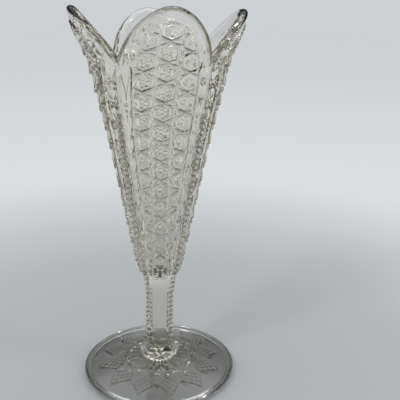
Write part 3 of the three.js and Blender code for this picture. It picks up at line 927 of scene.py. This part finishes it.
@dataclass(frozen=True)
class StarAndRosette:
    """Star moulded beneath the foot: hatched kites round a many-rayed rosette.

    A kite has a heart near the rosette, sides halfway to the next kites and an outer tip. The web lies
    between two kites, the collar round the rosette and the hem round the star, with rows at shares of the
    way across. The rosette's circles are shares of its radius. The first turn is in degrees.
    """

    foot: Foot
    points: int = 12
    first_turn: float = 8.8
    edge_steps: int = 8
    margin: float = 4.0
    side_share: float = 0.47
    heart_share: float = 0.11
    heart_gap: float = 0.6
    drop: float = 1.0
    hatch: int = 4
    hatch_relief: float = 0.55
    web_shares: Values = (0, 0.2, 0.8, 1)
    web_relief: float = 0.2
    collar_shares: Values = (0, 0.4, 1)
    hem_shares: Values = (0, 0.12, 0.5, 1)
    hem_relief: float = 0.1
    relief_fade: float = 0.35
    rays: int = 24
    circles: Values = (0, 0.1, 0.2, 0.3, 0.36, 0.42, 0.55, 0.68, 0.8, 0.88, 0.93, 0.965, 1.0)
    base: float = 0.25
    heart_relief: float = 0.9
    heart_cut: float = 1.0
    heart_circles: Values = (0.1, 0.3, 0.4)
    fan_circles: Values = (0.36, 0.5, 0.85, 0.93, 1.0)
    fan_relief: Values = (0.0, 0.8, 1.7, 1.2, 0.0)
    rim_circles: Values = (0.93, 0.965, 1.0)
    rim_rise: Values = (0.0, 1.0, 0.0)
    scallop: float = 0.6

    def turns(self) -> list[float]:
        """Turn of each of the star's sectors."""
        first = math.radians(self.first_turn)
        return [2 * math.pi * point / self.points + first for point in range(self.points)]

    def along(self, start: Array, end: Array) -> Array:
        """Evenly spaced points on a straight edge."""
        return mix(start[None, :], end[None, :], np.linspace(0, 1, self.edge_steps + 1)[:, None])

    def ring(self, radius: float) -> Array:
        """Arc of one half sector."""
        return around(radius, np.linspace(0, math.pi / self.points, self.edge_steps + 1), 0.0)[:, :2]

    def corner(self, radius: float, share: float) -> Array:
        """Point at a radius, at a share of half a sector from the middle of the kite."""
        turn = math.pi / self.points * share
        return np.array([radius * math.sin(turn), -radius * math.cos(turn)])

    def drop_at(self, plan: Array, relief: Number) -> Array:
        """Point under the foot at a plan position, lowered from the underside by the relief."""
        level = self.foot.underside(np.hypot(plan[..., 0], plan[..., 1])) - relief
        return np.concatenate([plan, level[..., None]], -1)

    def kite(self, heart: Array, side: Array, tip: Array) -> Patch:
        """Hatched kite: a grid between its four corners whose pyramids are the lesser of two sine waves.

        Args:
            heart: Corner nearest the rosette.
            side: Corner halfway to the next kite.
            tip: Outer corner.

        Returns:
            The patch.
        """
        share = np.linspace(0, 1, self.edge_steps + 1)
        other = side * np.array([-1.0, 1.0])
        u, v = share[:, None, None], share[None, :, None]
        plan = mix(mix(heart, side, u), mix(other, tip, u), v)
        wave = np.abs(np.sin(math.pi * self.hatch * share))
        relief = self.drop + self.hatch_relief * np.minimum(wave[:, None], wave[None, :])
        cell = np.arange(self.edge_steps)
        rising = (cell[:, None] + cell[None, :]) % 2 == 0
        return Patch.from_grid(self.drop_at(plan, relief), rising)

    def band(self, inner: Array, outer: Array, shares: Values, relief: Values) -> Patch:
        """Surface between two edges, with a relief at each share of the way that fades where they meet.

        Args:
            inner: Points of the inner edge.
            outer: Points of the outer edge.
            shares: Share of the way across of each row.
            relief: Relief of each row.

        Returns:
            The patch.
        """
        plan = mix(inner[None], outer[None], np.array(shares)[:, None, None])
        apart = np.linalg.norm(outer - inner, axis=-1)[None, :]
        rows = np.array(relief)[:, None]
        fade = np.clip(apart / self.relief_fade, 0.0, 1.0)
        return Patch.from_half(self.drop_at(plan, mix(rows[:1], rows, fade)))

    def wave(self, angle: Array, count: int) -> Array:
        """Zigzag round the axis: 1 at each of a count of even angles and 0 halfway between two."""
        return np.abs((angle * count / (2 * math.pi)) % 1.0 * 2 - 1)

    def rosette(self) -> Patch:
        """Rosette: rays fan out from a small star to a scalloped edge, as waves round growing circles.

        Returns:
            The patch.
        """
        count = 2 * self.edge_steps * self.points
        angle = (np.arange(count + 1) - self.edge_steps) / count * 2 * math.pi
        rays, star = self.wave(angle, self.rays), self.wave(angle, self.points)
        share, (full, deep, end) = np.array(self.circles)[:, None], self.heart_circles
        cut = self.heart_cut * star * smooth_step(0.0, deep, share)
        heart = smooth_step(end, full, share) * (self.heart_relief - cut)
        fans = np.interp(share, self.fan_circles, self.fan_relief) * rays
        rim = np.interp(share, self.rim_circles, self.rim_rise) * (1 - self.scallop * rays)
        crown = self.foot.underside(self.foot.rosette_radius)
        level = crown - self.base - np.maximum(heart, 0) - fans + rim
        grid = around(share * self.foot.rosette_radius, angle, np.where(share >= 1.0, crown, level))
        return Patch.from_grid(grid).turned(math.radians(self.first_turn))

    def patches(self) -> list[Patch]:
        """All patches inside the resting ring.

        Returns:
            The star's patches, the rosette and the wall at the resting ring.
        """
        foot, drop = self.foot, self.drop
        inner, outer = foot.rosette_radius, foot.rest_inner - self.margin
        heart, tip = self.corner(mix(inner, outer, self.heart_share), 0), self.corner(outer, 0)
        side = self.corner(mix(inner, outer, self.side_share), 1)
        root = self.along(heart, self.corner(inner + self.heart_gap, 1))
        web, hem = (drop, self.web_relief, self.web_relief, drop), (drop, self.hem_relief, 0.0, 0.0)
        sector = [
            self.kite(heart, side, tip),
            self.band(root, self.along(heart, side), self.web_shares, web),
            self.band(self.ring(inner), root, self.collar_shares, (0.0, 0.0, drop)),
            self.band(self.along(tip, side), self.ring(foot.rest_inner), self.hem_shares, hem),
        ]
        star = [patch.turned(turn) for patch in sector for turn in self.turns()]
        return [*star, self.rosette(), self.step()]

    def step(self) -> Patch:
        """Short wall between the resting ring and the underside, between rings of unlike counts.

        Returns:
            The patch.
        """
        ring = self.drop_at(self.ring(self.foot.rest_inner), 0.0)
        sector = with_mirror_half(ring[None])[0, :-1]
        star = np.concatenate([turned(sector, turn) for turn in self.turns()])
        angle = np.arctan2(star[:, 0], -star[:, 1])
        start = int(np.argmin(np.abs(angle + EIGHTH)))
        return Patch.between_rings(np.roll(star, -start, axis=0), self.foot.inner_ring())


@dataclass(frozen=True)
class NodeGraph:
    """Shader nodes. Inputs go by name or number, and each gets a value or the output that feeds it."""

    tree: bpy.types.NodeTree

    def fill(self, node: bpy.types.Node, inputs: Inputs) -> None:
        """Sets or links inputs of a node.

        Args:
            node: Node whose inputs are filled.
            inputs: Value or output for each input.
        """
        for name, source in inputs.items():
            if isinstance(source, bpy.types.NodeSocket):
                self.tree.links.new(source, node.inputs[name])
            else:
                node.inputs[name].default_value = source

    def add(self, kind: str, inputs: Inputs, **options: object) -> bpy.types.Node:
        """Adds a node. Its options come first, because they decide which inputs it has.

        Args:
            kind: Kind of the node.
            inputs: Value or output for each input.
            options: Value of each of the node's options.

        Returns:
            The node.
        """
        node = self.tree.nodes.new("ShaderNode" + kind)
        for name, option in options.items():
            setattr(node, name, option)
        self.fill(node, inputs)
        return node


@dataclass(frozen=True)
class PressedGlass:
    """Clear pressed glass with a faint warm cast, slight waves from the mould and fine wear where it rests.

    Heights and depths are in metres.
    """

    name: str = "clear_glass"
    tint: Triple = (0.974, 0.974, 0.962)
    refraction: float = 1.51
    cast: Triple = (0.825, 0.795, 0.695)
    density: float = 55.0
    polish: float = 0.012
    wear: float = 0.28
    wear_height: float = 0.0004
    scuff_scale: float = 1400.0
    scuff_detail: float = 3.0
    wave_scale: float = 90.0
    wave_detail: float = 2.0
    wave_strength: float = 0.05
    wave_depth: float = 0.0006

    def material(self) -> bpy.types.Material:
        """Node material: noise makes a faint bump, and noise by nearness to the table dulls the polish.

        Returns:
            The material.
        """
        made = bpy.data.materials.new(self.name)
        made.use_nodes = True
        graph = NodeGraph(made.node_tree)
        place = graph.add("TexCoord", {}).outputs["Object"]
        waves = {"Vector": place, "Scale": self.wave_scale, "Detail": self.wave_detail}
        waves = graph.add("TexNoise", waves).outputs["Fac"]
        bump = {"Height": waves, "Strength": self.wave_strength, "Distance": self.wave_depth}
        scuffs = {"Vector": place, "Scale": self.scuff_scale, "Detail": self.scuff_detail}
        scuffs = graph.add("TexNoise", scuffs).outputs["Fac"]
        height = graph.add("SeparateXYZ", {"Vector": place}).outputs["Z"]
        low = {"Value": height, "From Min": self.wear_height, "From Max": 0.0}
        low = graph.add("MapRange", {**low, "To Min": 0.0, "To Max": self.wear}).outputs["Result"]
        worn = graph.add("Math", {0: low, 1: scuffs, 2: self.polish}, operation="MULTIPLY_ADD")
        inside = graph.add("VolumeAbsorption", {"Color": (*self.cast, 1.0), "Density": self.density})
        graph.fill(made.node_tree.nodes["Material Output"], {"Volume": inside.outputs["Volume"]})
        graph.fill(made.node_tree.nodes["Principled BSDF"], {
            "Base Color": (*self.tint, 1.0),
            "Transmission Weight": 1.0,
            "IOR": self.refraction,
            "Normal": graph.add("Bump", bump).outputs["Normal"],
            "Roughness": worn.outputs["Value"],
        })
        return made


@dataclass(frozen=True)
class Vase:
    """The whole vase as one glass body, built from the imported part's own sizes.

    Sizes are in millimetres and creases in degrees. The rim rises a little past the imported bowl's.
    """

    finish: PressedGlass = PressedGlass()
    rim_rise: float = 0.5
    petal_reach: float = 45.3
    merge: float = 0.004
    foot_crease: float = 38.0
    bowl_crease: float = 75.0

    def build(self) -> bpy.types.Object:
        """Works out all patches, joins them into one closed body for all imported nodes, and dresses it.

        Returns:
            The vase's object.
        """
        form = VaseForm(
            height=reach_of("bowl", 2) + self.rim_rise,
            petal_reach=self.petal_reach,
            stem_half=reach_of("stem", 0),
            stem_foot=reach_of("foot", 2),
            bowl_foot=reach_of("stem", 2),
        )
        panel = ButtonPanel(form)
        bowl = BowlAndStem(form, panel, BeadRow(form, panel))
        foot = Foot(reach_of("foot", 0), bowl)
        patches = bowl.patches() + foot.patches() + StarAndRosette(foot).patches()
        body = self.joined("vase_glass", [form.twisted(patch) for patch in patches])
        body.data.materials.append(self.finish.material())
        return body

    def joined(self, name: str, patches: list[Patch]) -> bpy.types.Object:
        """Joins patches into one closed mesh with smooth faces and sharp creases.

        Args:
            name: Name of the piece.
            patches: Patches whose edges meet.

        Returns:
            The object, at the origin, with its place in its mesh.
        """
        counts = np.cumsum([0] + [len(patch.points) for patch in patches])
        points = np.concatenate([patch.points for patch in patches]) * MM
        triangles = np.concatenate([patch.triangles + start for patch, start in zip(patches, counts)])
        mesh = bpy.data.meshes.new(name)
        mesh.from_pydata(points, [], triangles)
        edit = bmesh.new()
        edit.from_mesh(mesh)
        bmesh.ops.remove_doubles(edit, verts=edit.verts, dist=self.merge * MM)
        bmesh.ops.recalc_face_normals(edit, faces=edit.faces)
        open_edges = sum(1 for edge in edit.edges if not edge.is_manifold)
        edit.to_mesh(mesh)
        edit.free()
        mesh.polygons.foreach_set("use_smooth", np.ones(len(mesh.polygons), dtype=bool))
        self.sharpen(mesh)
        LOG.info("%s: %d triangles, %d open edges", name, len(mesh.polygons), open_edges)
        return placed(name, mesh)

    def sharpen(self, mesh: bpy.types.Mesh) -> None:
        """Marks sharp edges: crisp ones in the foot and its star, and fire-polished ones above it.

        Args:
            mesh: Mesh of the whole vase.
        """
        places = np.empty(3 * len(mesh.vertices))
        mesh.vertices.foreach_get("co", places)
        ends = np.empty(2 * len(mesh.edges), dtype=int)
        mesh.edges.foreach_get("vertices", ends)
        middles = places.reshape(-1, 3)[ends.reshape(-1, 2)].mean(axis=1)
        marks = []
        for crease in (self.foot_crease, self.bowl_crease):
            mesh.set_sharp_from_angle(angle=math.radians(crease))
            sharp = np.zeros(len(mesh.edges), dtype=bool)
            if "sharp_edge" in mesh.attributes:
                mesh.attributes["sharp_edge"].data.foreach_get("value", sharp)
            marks.append(sharp)
        low = middles[:, 2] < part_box("foot")[1][2]
        mesh.edges.foreach_set("use_edge_sharp", np.where(low, marks[0], marks[1]))


@dataclass(frozen=True)
class Lamp:
    """Soft area light: its place and size in metres and its power in watts."""

    name: str
    place: Triple
    size: float
    power: float

    def build(self, target: Vector) -> None:
        """Hangs the light up, facing the target.

        Args:
            target: Point that the light faces.
        """
        lamp = bpy.data.lights.new(self.name, "AREA")
        lamp.energy = self.power
        lamp.size = self.size
        light = placed(self.name, lamp)
        light.location = self.place
        light.rotation_euler = (target - Vector(self.place)).to_track_quat("-Z", "Y").to_euler()


@dataclass(frozen=True)
class Studio:
    """Pale floor with painted shade round the vase, soft lights, a pale wall all round and the camera.

    Sizes are in metres, and the camera's in millimetres and degrees. The wall's strengths are read at heights
    of the viewing direction, from 0 to 1.
    """

    # The near colour is painted shade: darker grey floor round the vase, set against the lamps' brighter pool
    # there.
    near_shade_colour: Triple = (0.46, 0.47, 0.475)
    far_colour: Triple = (0.763, 0.767, 0.77)
    near_end: float = 0.1
    far_start: float = 0.46
    floor_roughness: float = 0.85
    floor_radius: float = 9.0
    floor_sides: int = 96
    floor_gap: float = 0.0002
    lamps: tuple[Lamp, ...] = (
        Lamp("key_light", (-0.9, -0.7, 1.1), 0.22, 3.0),
        Lamp("fill_light", (1.1, -0.5, 0.8), 0.16, 1.3),
        Lamp("back_light", (0.2, 0.5, 1.5), 0.3, 1.2),
    )
    lamp_target: Triple = (0.0, 0.0, 0.1)
    daylight: float = 0.86
    wall_heights: Values = (0.04, 0.26, 0.54, 0.76)
    wall_strengths: Values = (0.65, 0.06, 0.06, 0.95)
    wall_colour: Triple = (0.94, 0.97, 1.0)
    sensor: float = 36.0
    focal: float = 54.0
    place: Triple = (-29.6, -307.6, 196.7)
    yaw: float = 9.55
    pitch: float = 17.07
    roll: float = -1.15

    def floor(self) -> None:
        """Large round floor under the vase."""
        turn = np.linspace(0, 2 * math.pi, self.floor_sides + 1)[:-1]
        rim = np.stack([np.cos(turn), np.sin(turn), 0 * turn], -1) * self.floor_radius
        mesh = bpy.data.meshes.new("floor")
        mesh.from_pydata(rim, [], [list(range(len(rim)))])
        mesh.materials.append(self.floor_shade_paint())
        floor = placed("floor", mesh)
        floor.location.z = -self.floor_gap

    def floor_shade_paint(self) -> bpy.types.Material:
        """Paint that goes over from the near to the far colour with the distance from the vase. The darker
        near colour is painted shade round the vase: it evens out the lamps' brighter pool there and darkens
        the floor that the glass shows.

        Returns:
            The material.
        """
        made = bpy.data.materials.new("floor_shade_paint")
        made.use_nodes = True
        graph = NodeGraph(made.node_tree)
        place = graph.add("TexCoord", {}).outputs["Object"]
        distance = graph.add("VectorMath", {0: place}, operation="LENGTH").outputs["Value"]
        share = {"Value": distance, "From Min": self.near_end, "From Max": self.far_start}
        share = graph.add("MapRange", share, interpolation_type="SMOOTHSTEP").outputs["Result"]
        # Blends the painted shade near the vase into the pale far colour.
        paint = {"Factor": share, "A": (*self.near_shade_colour, 1.0), "B": (*self.far_colour, 1.0)}
        paint = graph.add("Mix", paint, data_type="RGBA").outputs["Result"]
        shader = made.node_tree.nodes["Principled BSDF"]
        graph.fill(shader, {"Base Color": paint, "Roughness": self.floor_roughness})
        return made

    def world(self) -> None:
        """Room: even daylight on the floor, and for the eye and the glass a pale wall under a dark ceiling.

        The strength is the daylight's, and for camera, glossy and transmission rays a ramp over their height.
        """
        world = bpy.data.worlds.new("room")
        bpy.context.scene.world = world
        world.use_nodes = True
        graph = NodeGraph(world.node_tree)
        place = graph.add("TexCoord", {}).outputs["Generated"]
        fall = graph.add("ValToRGB", {"Fac": graph.add("SeparateXYZ", {"Vector": place}).outputs["Z"]})
        stops = fall.color_ramp.elements
        fall.color_ramp.interpolation = "EASE"
        for height in self.wall_heights[1:-1]:
            stops.new(height)
        for stop, height, strength in zip(stops, self.wall_heights, self.wall_strengths):
            stop.position = height
            stop.color = (strength, strength, strength, 1.0)
        ray = graph.add("LightPath", {}).outputs
        shiny = graph.add("Math", {0: ray["Is Glossy Ray"], 1: ray["Is Transmission Ray"]}).outputs["Value"]
        seen = graph.add("Math", {0: ray["Is Camera Ray"], 1: shiny}, use_clamp=True).outputs["Value"]
        blend = graph.add("Mix", {"Factor": seen, "A": self.daylight, "B": fall.outputs["Color"]})
        room = {"Strength": blend.outputs["Result"], "Color": (*self.wall_colour, 1.0)}
        graph.fill(world.node_tree.nodes["Background"], room)

    def camera(self) -> None:
        """Camera at the photograph's viewing angle, from its place, yaw, pitch and roll."""
        data = bpy.data.cameras.new("camera")
        data.sensor_width = self.sensor
        data.lens = self.focal
        yaw, pitch, roll = (math.radians(angle) for angle in (self.yaw, self.pitch, self.roll))
        level = math.cos(pitch)
        ahead = Vector((math.sin(yaw) * level, math.cos(yaw) * level, -math.sin(pitch)))
        right = Vector((math.cos(yaw), -math.sin(yaw), 0.0))
        down = ahead.cross(right)
        across = math.cos(roll) * right + math.sin(roll) * down
        below = -math.sin(roll) * right + math.cos(roll) * down
        turn = Matrix((across, -below, -ahead)).transposed().to_4x4()
        camera = placed("camera", data)
        camera.matrix_world = Matrix.Translation(Vector(self.place) * MM) @ turn
        bpy.context.scene.camera = camera

    def build(self) -> None:
        """Sets the whole studio up."""
        self.floor()
        for lamp in self.lamps:
            lamp.build(Vector(self.lamp_target))
        self.world()
        self.camera()
        bpy.context.scene.view_settings.view_transform = "Standard"


def main() -> None:
    """Builds the vase and the studio, and reports each piece."""
    logging.basicConfig(level=logging.INFO, format="%(name)s: %(message)s")
    body = Vase().build()
    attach(body, "root")
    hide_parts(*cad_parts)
    LOG.info("%s stands for %d nodes", body.name, len(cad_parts))
    Studio().build()


if __name__ == "__main__":
    main()
